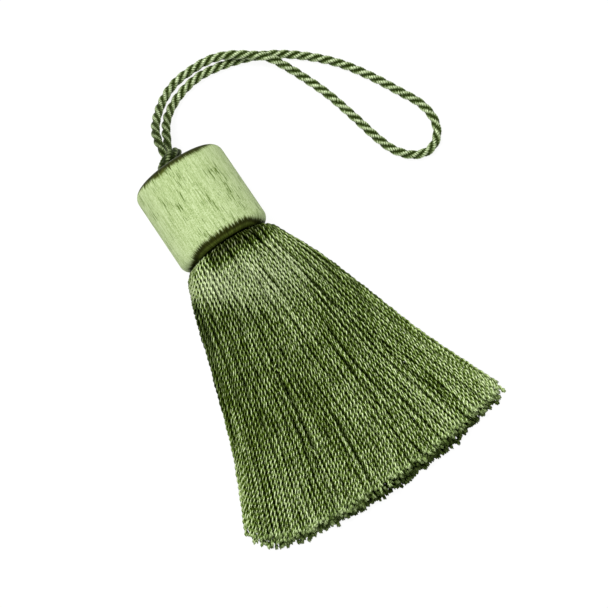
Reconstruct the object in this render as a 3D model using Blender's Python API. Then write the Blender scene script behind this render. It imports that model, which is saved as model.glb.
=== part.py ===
"""A tassel lying on a table: a floss-covered head, a twisted hanging loop with its
knot, and a skirt of loose yarns that fans out from under the head.

Metres, +Z up. The tassel lies along Y, with the loop at +Y. The origin is on the
table, midway along and across the head and skirt together.
"""
from collections import namedtuple
from math import asin, atan2, cos, pi, radians, sin, sqrt

import bmesh
import bpy
from mathutils import Matrix, Vector

# Head
HEAD_RADIUS = 0.0166
HEAD_LENGTH = 0.0317
HEAD_RIM = 0.0033            # rounding of both rims
HEAD_RIM_STEPS = 4
HEAD_SIDES = 48
HEAD_FLAT = 0.00015          # depth of the flat spot it lies on
HEAD_TOP_Y = 0.0635          # the end with the loop
HEAD_UNDER_Y = HEAD_TOP_Y - HEAD_LENGTH
AXIS_X = -0.00155            # the head's axis, a little left of the skirt's middle
AXIS_Z = HEAD_RADIUS - HEAD_FLAT
HOLE_RADIUS = 0.0032         # the hole that the loop goes into
HOLE_DEPTH = 0.0020

GAP = 0.0003                 # clearance between neighbouring pieces

# Skirt
STRANDS = 230
BACKING_RADIUS = 0.0134
BACKING_THICKNESS = 0.0012
BACKING_SIDES = 40
FAN_CENTRE_Y = 0.0845        # where the strands' lines meet, behind the head
FAN_RADIUS = 0.1477          # from there to the lowest ends in the middle
FAN_FLATTER = 0.0018         # the cut is a little flatter than that arc
CORNER_FROM = 0.8            # beyond this place across, the corners are rounded off
LEFT_CORNER_CUT = 0.0065
RIGHT_CORNER_CUT = 0.0015
TOP_LAYER_SHORTER = 0.0020   # the upper strands end short of the lowest ones
END_RAGGED = 0.0006          # how far single ends stray from the cut
RAGGED_STEP = 7.1            # radians from one strand's stray to the next one's
GOLDEN_STEP = (sqrt(5) - 1) / 2   # layer of the next strand, as a share of the height
FIRST_LAYER = 0.25
FLOOR_SHARE = 0.088          # share of the strands that lies on the table itself
FLOOR_FROM = 0.30            # they are all down at this share of their length

# One row for each section across the skirt, from the root to the ends:
# share of the length, middle (in x), half width, height of the widest place, depth
# below it and height above it in the middle, and a strand's width and height.
Section = namedtuple("Section", "share middle half_width mid below above width height")
SECTIONS = (
    Section(0.000, AXIS_X, 0.0126, 0.01645, 0.0126, 0.0122, 0.00085, 0.00070),
    Section(0.018, AXIS_X, 0.0159, 0.01580, 0.0152, 0.0148, 0.00090, 0.00075),
    Section(0.070, -0.0014, 0.0187, 0.01300, 0.0130, 0.0168, 0.00095, 0.00080),
    Section(0.160, -0.0006, 0.0225, 0.00800, 0.0080, 0.0180, 0.00105, 0.00085),
    Section(0.360, 0.0006, 0.0288, 0.00180, 0.0018, 0.0140, 0.00115, 0.00095),
    Section(0.700, 0.0007, 0.0385, 0.00000, 0.0000, 0.0088, 0.00125, 0.00105),
    Section(1.000, 0.0000, 0.0490, 0.00000, 0.0000, 0.0070, 0.00130, 0.00110),
)

# Hanging loop
CORD_DIAMETER = 0.0031
CORD_LAY = 0.0115            # length of one full turn of the three plies
CORD_PLIES = 3
POINTS_PER_PLY = 3
RINGS_PER_LAY = 9
PLY_VALLEY = 0.72            # depth of the grooves, as a share of the radius
FOOT_SQUEEZE = 0.80          # the legs are pressed thinner inside the knot
FOOT_END_Y = 0.0690          # the squeeze lets go from here
FOOT_FREE_Y = 0.0760         # to here
LEG_ASIDE = 0.0006           # in the knot one leg lies above the other, and a little
LEG_ABOVE = 0.0013           # to its left, both this far from the head's axis

# The loop's route from the upper leg's end in the head, round the bight and back.
CORD_ROUTE = (
    (AXIS_X - LEG_ASIDE, 0.0618, AXIS_Z + LEG_ABOVE),
    (AXIS_X - LEG_ASIDE, 0.0658, AXIS_Z + LEG_ABOVE),
    (-0.0018, 0.0704, 0.0173),
    (-0.0009, 0.0754, 0.0143),
    (0.0007, 0.0802, 0.0104),
    (0.0043, 0.0853, 0.0062),
    (0.0096, 0.0900, 0.0028),
    (0.0158, 0.0930, 0.0016),
    (0.0229, 0.0938, 0.0018),
    (0.0302, 0.0930, 0.0034),
    (0.0364, 0.0904, 0.0048),
    (0.0421, 0.0866, 0.0051),
    (0.0474, 0.0820, 0.0048),
    (0.0512, 0.0759, 0.0032),
    (0.0544, 0.0695, 0.0017),
    (0.0579, 0.0600, 0.0016),
    (0.0607, 0.0489, 0.0016),
    (0.0631, 0.0384, 0.0016),
    (0.0655, 0.0318, 0.0016),
    (0.0696, 0.0269, 0.0016),
    (0.0749, 0.0250, 0.0016),
    (0.0799, 0.0271, 0.0016),
    (0.0829, 0.0327, 0.0016),
    (0.0823, 0.0401, 0.0016),
    (0.0785, 0.0482, 0.0016),
    (0.0734, 0.0580, 0.0016),
    (0.0672, 0.0675, 0.0016),
    (0.0595, 0.0756, 0.0016),
    (0.0508, 0.0824, 0.0016),
    (0.0420, 0.0867, 0.0016),
    (0.0328, 0.0894, 0.0016),
    (0.0245, 0.0904, 0.0016),
    (0.0170, 0.0892, 0.0016),
    (0.0107, 0.0864, 0.0022),
    (0.0063, 0.0825, 0.0052),
    (0.0034, 0.0779, 0.0092),
    (0.0014, 0.0734, 0.0126),
    (-0.0006, 0.0692, 0.0147),
    (AXIS_X + LEG_ASIDE, 0.0656, AXIS_Z - LEG_ABOVE),
    (AXIS_X + LEG_ASIDE, 0.0618, AXIS_Z - LEG_ABOVE),
)

# Knot: a ring of the same cord round both legs, pulled tight and so a little thinner
KNOT_TUBE = 0.0027
KNOT_BEND = 0.0032           # radius of its centre line at the two bends
KNOT_TILT = radians(22)      # its +X side stands away from the head
KNOT_RISE = 0.0008           # from the head's top to its lowest place
KNOT_LAYS = 2
KNOT_RINGS = 26
KNOT_BEND_STEPS = 16


def clear_scene():
    for old in list(bpy.data.objects):
        bpy.data.objects.remove(old, do_unlink=True)


def material(name, colour, roughness):
    made = bpy.data.materials.new(name)
    made.use_nodes = True
    shader = made.node_tree.nodes["Principled BSDF"]
    shader.inputs["Base Color"].default_value = (*colour, 1.0)
    shader.inputs["Roughness"].default_value = roughness
    shader.inputs["Metallic"].default_value = 0.0
    return made


def add_object(name, bm, surface, smooth_angle=None):
    """Turn a bmesh into a named object with its own material."""
    bmesh.ops.recalc_face_normals(bm, faces=bm.faces)
    mesh = bpy.data.meshes.new(name)
    bm.to_mesh(mesh)
    bm.free()
    mesh.materials.append(surface)
    if smooth_angle is not None:
        mesh.shade_smooth()
        mesh.set_sharp_from_angle(angle=smooth_angle)
    made = bpy.data.objects.new(name, mesh)
    bpy.context.scene.collection.objects.link(made)
    return made


# ---------------------------------------------------------------- head

def head_profile():
    """Half outline of the head as (radius, y), from the hole to the underside."""
    outline = [(0.0, HEAD_TOP_Y - HOLE_DEPTH),
               (HOLE_RADIUS, HEAD_TOP_Y - HOLE_DEPTH),
               (HOLE_RADIUS, HEAD_TOP_Y)]
    corner = HEAD_RADIUS - HEAD_RIM
    turns = [step * pi / 2 / HEAD_RIM_STEPS for step in range(HEAD_RIM_STEPS + 1)]
    for turn in turns:
        outline.append((corner + HEAD_RIM * sin(turn),
                        HEAD_TOP_Y - HEAD_RIM + HEAD_RIM * cos(turn)))
    for turn in turns:
        outline.append((corner + HEAD_RIM * cos(turn),
                        HEAD_UNDER_Y + HEAD_RIM - HEAD_RIM * sin(turn)))
    outline.append((0.0, HEAD_UNDER_Y))
    return outline


def build_head():
    bm = bmesh.new()
    profile = [bm.verts.new((0.0, y, -radius)) for radius, y in head_profile()]
    edges = [bm.edges.new(pair) for pair in zip(profile, profile[1:])]
    bmesh.ops.spin(bm, geom=profile + edges, cent=(0, 0, 0), axis=(0, 1, 0),
                   angle=2 * pi, steps=HEAD_SIDES, use_merge=True)
    bmesh.ops.remove_doubles(bm, verts=bm.verts, dist=1e-6)
    bmesh.ops.translate(bm, verts=bm.verts, vec=(AXIS_X, 0, AXIS_Z))
    for vert in bm.verts:
        vert.co.z = max(vert.co.z, 0.0)   # the flat spot
    return add_object("head", bm, material("head_floss", (0.42, 0.53, 0.22), 0.42),
                      smooth_angle=radians(35))


# ---------------------------------------------------------------- skirt

def across_disc(share):
    """Place across a disc, -1 to 1, that leaves this share of its area behind it."""
    low, high = -1.0, 1.0
    for _ in range(40):
        middle = (low + high) / 2
        area = 0.5 + (middle * sqrt(1 - middle * middle) + asin(middle)) / pi
        low, high = (middle, high) if area < share else (low, middle)
    return (low + high) / 2


def cut_line(across):
    """How far from the fan's centre the lowest strands end, at this place across."""
    corner = max(0.0, (abs(across) - CORNER_FROM) / (1 - CORNER_FROM))
    cut = LEFT_CORNER_CUT if across < 0 else RIGHT_CORNER_CUT
    return FAN_RADIUS + FAN_FLATTER * across**2 - cut * corner**2


def strand_route(index):
    """A strand's path as (x, y, z, width, height) for each of the table's sections.

    The strands are dealt out by the golden ratio. It keeps neighbours apart both in
    the round throat and in the wide flat fan.
    """
    across = across_disc((index + 0.5) / STRANDS)
    layer = (FIRST_LAYER + index * GOLDEN_STEP) % 1.0
    chord = sqrt(1 - across * across)
    settled_layer = layer if layer > FLOOR_SHARE else 0.0
    ragged = END_RAGGED * sin(RAGGED_STEP * index)
    reach = cut_line(across) - TOP_LAYER_SHORTER * layer + ragged
    end_x = SECTIONS[-1].half_width * across
    end_y = FAN_CENTRE_Y - sqrt(reach * reach - end_x * end_x)
    root_y = HEAD_UNDER_Y - GAP - BACKING_THICKNESS / 2
    route = []
    for section in SECTIONS:
        settled = min(1.0, section.share / FLOOR_FROM)
        level = layer + (settled_layer - layer) * settled
        bottom = section.mid - section.below * chord
        top = section.mid + section.above * chord
        route.append((section.middle + section.half_width * across,
                      root_y + (end_y - root_y) * section.share,
                      bottom + (top - bottom) * level,
                      section.width, section.height))
    return route


def add_strand(bm, route):
    """A three-sided strand, flat side down."""
    rings = []
    for x, y, z, width, height in route:
        rings.append([bm.verts.new((x - width / 2, y, z)),
                      bm.verts.new((x + width / 2, y, z)),
                      bm.verts.new((x, y, z + height))])
    for ring, following in zip(rings, rings[1:]):
        for side in range(3):
            after = (side + 1) % 3
            bm.faces.new((ring[side], ring[after], following[after], following[side]))
    bm.faces.new(rings[0])
    bm.faces.new(rings[-1])


def build_skirt():
    surface = material("skirt_yarn", (0.24, 0.34, 0.10), 0.5)
    strands = bmesh.new()
    for index in range(STRANDS):
        add_strand(strands, strand_route(index))
    loose = add_object("skirt_strands", strands, surface)
    loose.hide_render = True
    loose.display_type = "WIRE"

    backing = bmesh.new()
    bmesh.ops.create_cone(backing, cap_ends=True, segments=BACKING_SIDES,
                          radius1=BACKING_RADIUS, radius2=BACKING_RADIUS,
                          depth=BACKING_THICKNESS)
    turn = Matrix.Rotation(radians(90), 3, "X")
    bmesh.ops.rotate(backing, verts=backing.verts, matrix=turn)
    bmesh.ops.translate(backing, verts=backing.verts,
                        vec=(AXIS_X, HEAD_UNDER_Y - GAP - BACKING_THICKNESS / 2, AXIS_Z))
    skirt = add_object("skirt", backing, surface)
    union = skirt.modifiers.new("strands", "BOOLEAN")
    union.operation = "UNION"
    union.solver = "EXACT"
    union.object = loose
    return skirt


# ---------------------------------------------------------------- cord

def smooth_curve(points, steps=12):
    """Dense points on a smooth curve through the given ones."""
    points = [Vector(point) for point in points]
    points = [2 * points[0] - points[1]] + points + [2 * points[-1] - points[-2]]
    dense = []
    for before, start, end, after in zip(points, points[1:], points[2:], points[3:]):
        leave = (end - before) / 2
        arrive = (after - start) / 2
        for step in range(steps):
            t = step / steps
            dense.append(start * (2 * t**3 - 3 * t**2 + 1) + leave * (t**3 - 2 * t**2 + t)
                         + end * (3 * t**2 - 2 * t**3) + arrive * (t**3 - t**2))
    dense.append(points[-2].copy())
    return dense


def even_points(dense, count):
    """The curve again, as count + 1 points the same distance apart."""
    reached = [0.0]
    for start, end in zip(dense, dense[1:]):
        reached.append(reached[-1] + (end - start).length)
    even = []
    piece = 0
    for step in range(count + 1):
        wanted = reached[-1] * step / count
        while piece < len(dense) - 2 and reached[piece + 1] < wanted:
            piece += 1
        part = (wanted - reached[piece]) / (reached[piece + 1] - reached[piece])
        even.append(dense[piece].lerp(dense[piece + 1], part))
    return even, reached[-1]


def add_twisted_tube(bm, centres, closed, turn_per_ring, radius_at):
    """A tube whose outline has one soft ridge for each ply, turning as it goes."""
    count = len(centres)
    sides = CORD_PLIES * POINTS_PER_PLY
    normal = Vector((0, 0, 1))
    if closed:
        normal = Vector((0, 1, 0))
    rings = []
    for index, centre in enumerate(centres):
        before = centres[index - 1] if closed or index else centre
        after = centres[(index + 1) % count] if closed or index < count - 1 else centre
        along = (after - before).normalized()
        normal = (normal - along * normal.dot(along)).normalized()
        side = along.cross(normal)
        ring = []
        for point in range(sides):
            angle = 2 * pi * point / sides
            ridge = (1 + cos(CORD_PLIES * angle)) / 2
            radius = radius_at(centre) * (PLY_VALLEY + (1 - PLY_VALLEY) * ridge)
            turned = angle - turn_per_ring * index
            ring.append(bm.verts.new(centre + radius * (normal * cos(turned)
                                                        + side * sin(turned))))
        rings.append(ring)
    pairs = list(zip(rings, rings[1:]))
    if closed:
        pairs.append((rings[-1], rings[0]))
    else:
        bm.faces.new(rings[0])
        bm.faces.new(rings[-1])
    for ring, following in pairs:
        for point in range(sides):
            after = (point + 1) % sides
            bm.faces.new((ring[point], ring[after], following[after], following[point]))


def cord_radius(centre):
    """Full radius, but less where the knot holds the two legs together."""
    free = (centre.y - FOOT_END_Y) / (FOOT_FREE_Y - FOOT_END_Y)
    near_foot = abs(centre.x - AXIS_X) < HEAD_RADIUS / 2
    share = min(1.0, max(0.0, free)) if near_foot else 1.0
    return CORD_DIAMETER / 2 * (FOOT_SQUEEZE + (1 - FOOT_SQUEEZE) * share)


def build_loop_cord():
    """The loop, with both legs' ends in the head's hole, nowhere below the table."""
    dense = smooth_curve(CORD_ROUTE)
    _, length = even_points(dense, 1)
    count = round(length / CORD_LAY * RINGS_PER_LAY)
    centres, _ = even_points(dense, count)
    for centre in centres:
        centre.z = max(centre.z, CORD_DIAMETER / 2)
    bm = bmesh.new()
    add_twisted_tube(bm, centres, closed=False, turn_per_ring=2 * pi / RINGS_PER_LAY,
                     radius_at=cord_radius)
    return add_object("loop_cord", bm, material("loop_cord", (0.22, 0.31, 0.11), 0.5),
                      smooth_angle=radians(60))


def build_loop_knot():
    """The ring lies round both legs, just over the head's top."""
    reach_aside = LEG_ASIDE + KNOT_BEND
    centre_y = HEAD_TOP_Y + KNOT_RISE + KNOT_TUBE / 2 + reach_aside * sin(KNOT_TILT)
    centre = Vector((AXIS_X, centre_y, AXIS_Z))
    roll = atan2(LEG_ASIDE, LEG_ABOVE)
    outline = []
    for end, start in ((1, roll), (-1, roll + pi)):
        for step in range(KNOT_BEND_STEPS + 1):
            turn = start + pi * step / KNOT_BEND_STEPS
            outline.append(Vector((KNOT_BEND * cos(turn) - end * LEG_ASIDE, 0,
                                   KNOT_BEND * sin(turn) + end * LEG_ABOVE)))
    tilt = Matrix.Rotation(KNOT_TILT, 3, "Z")
    outline = [centre + tilt @ point for point in outline]
    outline.append(outline[0].copy())
    centres, _ = even_points(outline, KNOT_RINGS)
    bm = bmesh.new()
    add_twisted_tube(bm, centres[:-1], closed=True,
                     turn_per_ring=2 * pi * KNOT_LAYS / KNOT_RINGS,
                     radius_at=lambda place: KNOT_TUBE / 2)
    return add_object("loop_knot", bm, material("knot_cord", (0.20, 0.28, 0.10), 0.5),
                      smooth_angle=radians(60))


clear_scene()
build_head()
build_skirt()
build_loop_cord()
build_loop_knot()
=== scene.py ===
"""Looks of the tassel: floss over the head, the skirt's two-ply yarns, the hanging
loop's three-ply cord and its knot, on a white table in soft studio light.

Metres, +Z up. The tassel lies along Y, with its loop at +Y.
"""
from collections import namedtuple
from math import atan2, cos, pi, radians, sin, sqrt

import bpy
import numpy as np
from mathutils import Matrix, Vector


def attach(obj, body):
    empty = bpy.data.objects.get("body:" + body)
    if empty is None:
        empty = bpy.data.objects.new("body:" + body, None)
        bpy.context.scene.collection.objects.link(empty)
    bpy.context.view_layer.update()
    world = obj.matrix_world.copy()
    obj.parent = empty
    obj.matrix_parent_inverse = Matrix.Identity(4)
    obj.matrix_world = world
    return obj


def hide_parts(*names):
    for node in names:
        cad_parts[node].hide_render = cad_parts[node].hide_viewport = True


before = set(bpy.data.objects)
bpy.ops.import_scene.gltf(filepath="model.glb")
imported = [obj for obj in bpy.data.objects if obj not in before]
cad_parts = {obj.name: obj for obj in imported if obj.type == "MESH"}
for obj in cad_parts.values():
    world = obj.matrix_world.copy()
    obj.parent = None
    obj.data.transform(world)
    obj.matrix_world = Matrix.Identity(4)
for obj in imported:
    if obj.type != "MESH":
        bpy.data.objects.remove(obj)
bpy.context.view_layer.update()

UP = np.array([0.0, 0.0, 1.0])
MILLIMETRES = 1000
TINY = 1e-9
TABLE_CLEARANCE = 0.00002  # between the skirt and the table

# Head
HEAD_RADIUS = 0.0166
HEAD_LENGTH = 0.0317
HEAD_RIM = 0.0033
HEAD_FLAT = 0.00015  # depth of the strip that it lies on
HEAD_TOP_Y = 0.0635
HEAD_UNDER_Y = HEAD_TOP_Y - HEAD_LENGTH
AXIS_X = -0.00155
AXIS_Z = HEAD_RADIUS - HEAD_FLAT
HOLE_RADIUS = 0.0032
HOLE_DEPTH = 0.0020
HOLE_RIM = 0.0006
HOLE_MIDDLE = 0.0002  # where the outline starts
GAP = 0.0003  # between the head and the skirt
HOLE_RIM_POINTS = 4
RIM_POINTS = 11
WALL_STEPS = 19
THREADS = 240  # of floss, round the head
POINTS_PER_THREAD = 3
THREAD_RELIEF = 0.00004
THREAD_FULLNESS = 0.6  # below 1 the crowns are broad and the grooves narrow
THREAD_SUNK = 0.9  # share of the relief that lies inside the head's radius
FLATTEST_THREAD = 0.45  # its share of the relief
SWAYS = 7  # waves that lead the threads from side to side
SWAY_SIZE = (0.1, 0.45)
SWAYS_ROUND = (3, 40)  # round the head
SWAYS_ALONG = (150, 500)  # radians for each metre along a thread
TOP_SHADE_SHORTER = 0.25  # the rims' painted shade reaches less far on the head's two flanks
FOOT_SHADE_SHORTER = 0.55

# Skirt. Below, across goes from -1 at its left edge to 1 at its right, share from 0 at
# the head to 1 at the yarns' ends, and level from 0 for the lowest yarns to 1.
YARNS = 400
FAN_CENTRE_Y = 0.0845  # the yarns end on an arc round this place
FAN_RADIUS = 0.1480
FAN_FLATTER = 0.0018  # how much further out the arc is at the edges
LEFT_CORNER_FROM = 0.66  # yarns get shorter from here to the corner
RIGHT_CORNER_FROM = 0.80
LEFT_CORNER_CUT = 0.0074
RIGHT_CORNER_CUT = 0.0004
TOP_LAYER_SHORTER = 0.0036
END_RAGGED = 0.0005
GOLDEN_STEP = (sqrt(5) - 1) / 2
FIRST_LAYER = 0.25
STATIONS = 34  # places along the yarns where they are packed
STATION_CROWDING = 1.25  # above 1 they lie closer together by the head
PACK_STEPS = 220
FREE_STEPS = 6  # the last ones, without the yarns' springiness
SPRINGINESS = 0.2
PUSH = 0.45  # share of their overlap that two yarns each move in one step
MOST_NEIGHBOURS = 70
SKIN_SLACK = 0.0003
SKIN_LIFT = 0.00003  # in one step, towards the nearer skin
EDGE_THINNER = 0.45
CLEFT_MOVE = 0.00040
YARN_RADIUS = 0.00057
YARN_LENGTH = 0.0975  # of most yarns, about
PLY_RADIUS = 0.00031  # of each of a yarn's two plies
PLY_OFFSET = 0.00027  # from the yarn's axis to a ply's
GROOVE_DEPTH = 0.00015  # the groove between the plies lies this far from the axis
YARN_LAY = 0.0038  # right-handed
LAY_UNEVEN = 0.10  # how far the twist runs ahead or behind, in turns
CRIMP = 0.00009  # how far a yarn waves to either side
SWELL_UNEVEN = 0.07  # how much a yarn's thickness comes and goes
EDGE_SWELL = 0.18  # how much thicker it is at the skirt's edges,
FAR_SWELL = 0.10  # towards the skirt's end,
CUT_SWELL = 0.30  # and where it is cut
CUT_LENGTH = 0.0025  # up to here from its cut
TIP_LENGTH = 0.0030  # the looser, paler end
DEEPEST = 3  # yarn widths, below which the painted shade gets no darker
BUNDLE_TRIANGLES = 170000  # the most in one joined mesh
TUFT_LOCKS = 5
LOCK_STEPS = 3
LOCK_SIDES = 4
LOCK_RADIUS = 0.00036
LOCK_TAPER = 0.6
LOCK_ROOT = 0.0006  # how far inside the yarn its locks start
LOCK_SPREAD = 0.00034
LOCK_LENGTH = (0.0003, 0.0009)
LOCK_LEAN = (0.10, 0.60)

# The bundle's sections: the middle's x, half the width, the height of the widest place,
# and how far the section goes below and above that height.
Section = namedtuple("Section", "share middle half_width mid below above")
SECTIONS = (
    Section(0.000, AXIS_X, 0.0126, 0.01645, 0.0126, 0.0122),
    Section(0.018, AXIS_X, 0.0159, 0.01580, 0.0152, 0.0148),
    Section(0.070, -0.0014, 0.0187, 0.01300, 0.0130, 0.0168),
    Section(0.160, -0.0006, 0.0225, 0.00800, 0.0080, 0.0180),
    Section(0.360, 0.0006, 0.0288, 0.00180, 0.0018, 0.0140),
    Section(0.700, 0.0007, 0.0385, 0.00000, 0.0000, 0.0088),
    Section(1.000, 0.0004, 0.0494, 0.00000, 0.0000, 0.0070),
)

# How yarns are drawn, those that show most first: up to which rank, points at which
# turns (degrees) round each ply, and whether the grooves between have points too.
YarnKind = namedtuple("YarnKind", "upto turns grooved rings_per_lay thickness")
YARN_KINDS = (
    YarnKind(120, (-75, 0, 75), True, 8, 1.0),
    YarnKind(215, (-45, 45), True, 7, 1.0),
    YarnKind(310, (-40, 40), False, 4.5, 1.10),
    YarnKind(YARNS, (-40, 40), False, 2, 1.30),
)

# Waves across the skirt that part its yarns: how many there are in half the width, the
# share where they show most, how they swing along the skirt, and where they start.
Ropes = namedtuple("Ropes", "count share swing phase")
ROPES = (
    Ropes(7.3, 0.25, 1.3, 0.8),
    Ropes(11.1, 0.50, -1.1, 2.9),
    Ropes(14.6, 0.72, 0.9, 5.1),
    Ropes(18.7, 0.95, -0.7, 1.7),
)
ROPES_SPREAD = 0.25

# The painted sheen band below the head: its share at places across, its spread and strength.
HighlightBand = namedtuple("HighlightBand", "across share spread strength")
PAINTED_HIGHLIGHT_BAND = (
    HighlightBand(-0.90, 0.095, 0.062, 0.84),
    HighlightBand(-0.55, 0.120, 0.080, 0.93),
    HighlightBand(-0.25, 0.150, 0.135, 0.56),
    HighlightBand(0.10, 0.167, 0.125, 0.56),
    HighlightBand(0.55, 0.170, 0.165, 0.46),
    HighlightBand(0.90, 0.165, 0.110, 0.05),
)

# Hanging loop
CORD_DIAMETER = 0.0031
CORD_LAY = 0.0115  # left-handed
CORD_PLIES = 3
PLY_YARN_LAY = 0.0019  # the ply's own three yarns turn the other way
PLY_YARNS = 3
POINTS_PER_PLY_YARN = 4
PLY_YARN_RELIEF = 0.16  # depth of the grooves between them, as a share
STEPS_PER_LAY = 9
PLY_PRESSED = 1.13  # the plies press into each other by this much
FOOT_SLACK = 0.35  # the legs' twist is this much longer by the head
LOOSE_TWIST = 1.05  # so that the hollows between the yarns don't make it thinner
FOOT_SQUEEZE = 0.80  # how thick the legs are in the knot, as a share
FOOT_END_Y = 0.0690
FOOT_FREE_Y = 0.0760
FOOT_SHADE_FULL_Y = HEAD_TOP_Y + 0.008  # the legs' colour has painted shade up to here
FOOT_SHADE_END_Y = HEAD_TOP_Y + 0.030  # and lose it up to here,
FOOT_SHADE_ASIDE = (0.01, 0.02)  # or between these distances from the head's axis
LEG_ASIDE = 0.0006
LEG_ABOVE = 0.0013
CORD_ROUTE = (
    (AXIS_X - LEG_ASIDE, 0.0618, AXIS_Z + LEG_ABOVE),
    (AXIS_X - LEG_ASIDE, 0.0658, AXIS_Z + LEG_ABOVE),
    (-0.0018, 0.0704, 0.0173), (-0.0009, 0.0754, 0.0143), (0.0007, 0.0802, 0.0104),
    (0.0043, 0.0853, 0.0062), (0.0096, 0.0900, 0.0028), (0.0158, 0.0930, 0.0016),
    (0.0229, 0.0938, 0.0018), (0.0302, 0.0930, 0.0034), (0.0364, 0.0904, 0.0048),
    (0.0421, 0.0866, 0.0051), (0.0474, 0.0820, 0.0048), (0.0512, 0.0759, 0.0032),
    (0.0544, 0.0695, 0.0017), (0.0579, 0.0600, 0.0016), (0.0607, 0.0489, 0.0016),
    (0.0631, 0.0384, 0.0016), (0.0655, 0.0318, 0.0016), (0.0696, 0.0269, 0.0016),
    (0.0749, 0.0250, 0.0016), (0.0799, 0.0271, 0.0016), (0.0829, 0.0327, 0.0016),
    (0.0823, 0.0401, 0.0016), (0.0785, 0.0482, 0.0016), (0.0734, 0.0580, 0.0016),
    (0.0672, 0.0675, 0.0016), (0.0595, 0.0756, 0.0016), (0.0508, 0.0824, 0.0016),
    (0.0420, 0.0867, 0.0016), (0.0328, 0.0894, 0.0016), (0.0245, 0.0904, 0.0016),
    (0.0170, 0.0892, 0.0016), (0.0107, 0.0864, 0.0022), (0.0063, 0.0825, 0.0052),
    (0.0034, 0.0779, 0.0092), (0.0014, 0.0734, 0.0126), (-0.0006, 0.0692, 0.0147),
    (AXIS_X + LEG_ASIDE, 0.0656, AXIS_Z - LEG_ABOVE),
    (AXIS_X + LEG_ASIDE, 0.0618, AXIS_Z - LEG_ABOVE),
)

# Knot
KNOT_TUBE = 0.0027
KNOT_BEND = 0.0032
KNOT_TILT = radians(22)
KNOT_RISE = 0.0008  # over the head's top
KNOT_LAYS = 2  # turns of its cord's twist
KNOT_SWELL = 1.38  # its cord loosens where it bends so sharply,
KNOT_PRESSED = 1.40  # and its plies press deeper into each other
KNOT_PAINTED_SHADE = 1.7  # its painted shade, where the legs' is up to 1
KNOT_BEND_POINTS = 40

# Steps of the fibres' noise for each metre, and between plies or yarns side by side
CORD_FIBRE_ALONG = 400
CORD_FIBRE_APART = 17.0
YARN_FIBRE_ACROSS = 5000
YARN_FIBRE_ALONG = 900
YARN_FIBRE_APART = 31.0
TUFT_FIBRE = 3000

# Camera and stage
CAMERA_AZIMUTH = radians(-33.73)
CAMERA_ELEVATION = radians(80)
CAMERA_DISTANCE = 0.600
CAMERA_TARGET = Vector((0.01042, 0.0046, 0.0))
FRAME_WIDTH = 0.2049  # what the frame spans at the target
SENSOR = 36.0
FLOOR_HALF = 6.0
KEY_DIRECTION = Vector((-0.14, 0.42, 1.0))
KEY_DISTANCE = 1.1
KEY_SIZE = 0.45
KEY_POWER = 11.0
WHITE = (1, 1, 1, 1)
AMBIENT = 0.55


# -------- camera

def add_object(name, data):
    made = bpy.data.objects.new(name, data)
    bpy.context.scene.collection.objects.link(made)
    return made


def add_camera():
    back = Vector((sin(CAMERA_AZIMUTH) * cos(CAMERA_ELEVATION),
                   -cos(CAMERA_AZIMUTH) * cos(CAMERA_ELEVATION),
                   sin(CAMERA_ELEVATION)))
    data = bpy.data.cameras.new("camera")
    data.sensor_width = SENSOR
    data.lens = SENSOR * CAMERA_DISTANCE / FRAME_WIDTH
    data.clip_start = 0.01
    data.clip_end = 20
    camera = add_object("camera", data)
    camera.location = CAMERA_TARGET + back * CAMERA_DISTANCE
    camera.rotation_euler = (-back).to_track_quat("-Z", "Y").to_euler()
    bpy.context.scene.camera = camera


# -------- meshes and curves

Part = namedtuple("Part", "points faces attributes")


def add_piece(name, parts, surface, stands_for):
    """One mesh object of the root body, joined from its parts."""
    points = np.concatenate([part.points for part in parts])
    faces = []
    first = 0
    for part in parts:
        for group in part.faces:
            faces.extend((group + first).tolist())
        first += len(part.points)
    mesh = bpy.data.meshes.new(name)
    mesh.from_pydata(points.tolist(), [], faces)
    for key in parts[0].attributes:
        values = np.concatenate([part.attributes[key] for part in parts]).astype(np.float32)
        kind, field = ("FLOAT", "value") if values.ndim == 1 else ("FLOAT_VECTOR", "vector")
        layer = mesh.attributes.new(key, kind, "POINT")
        layer.data.foreach_set(field, values.ravel())
    mesh.materials.append(surface)
    mesh.shade_smooth()
    mesh.update()
    made = add_object(name, mesh)
    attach(made, "root")
    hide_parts(stands_for)
    return made


def tube_faces(rings, sides, closed=False, first=0):
    """Faces of a tube whose points run ring by ring: quads, and two caps if it is open."""
    ring = np.arange(rings if closed else rings - 1)[:, None]
    side = np.arange(sides)[None, :]
    following = (ring + 1) % rings
    after = (side + 1) % sides
    quads = np.stack([ring * sides + side, ring * sides + after,
                      following * sides + after, following * sides + side], axis=-1)
    groups = [quads.reshape(-1, 4) + first]
    if not closed:
        start = np.arange(sides)[::-1][None, :] + first
        end = np.arange(sides)[None, :] + (rings - 1) * sides + first
        groups += [start, end]
    return groups


def triangles(part):
    return sum(len(group) * (group.shape[1] - 2) for group in part.faces)


def unit(vectors):
    return vectors / np.linalg.norm(vectors, axis=-1, keepdims=True)


def square_to(along, vectors):
    """Unit vectors the way these point, but square to the lines along."""
    return unit(vectors - along * np.sum(vectors * along, axis=-1, keepdims=True))


def rise(value, start, end):
    """0 up to start and 1 from end on, with a smooth rise between."""
    t = np.clip((value - start) / (end - start), 0, 1)
    return t * t * (3 - 2 * t)


def plateau(value, up, down):
    """1 between a rise and a fall, each given by its start and end, and 0 outside."""
    return rise(value, *up) * (1 - rise(value, *down))


def blend(start, end, leave, arrive, t):
    """From start to end as t goes from 0 to 1, with these slopes there."""
    return (start * (2 * t**3 - 3 * t**2 + 1) + end * (3 * t**2 - 2 * t**3)
            + leave * (t**3 - 2 * t**2 + t) + arrive * (t**3 - t**2))


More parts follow.
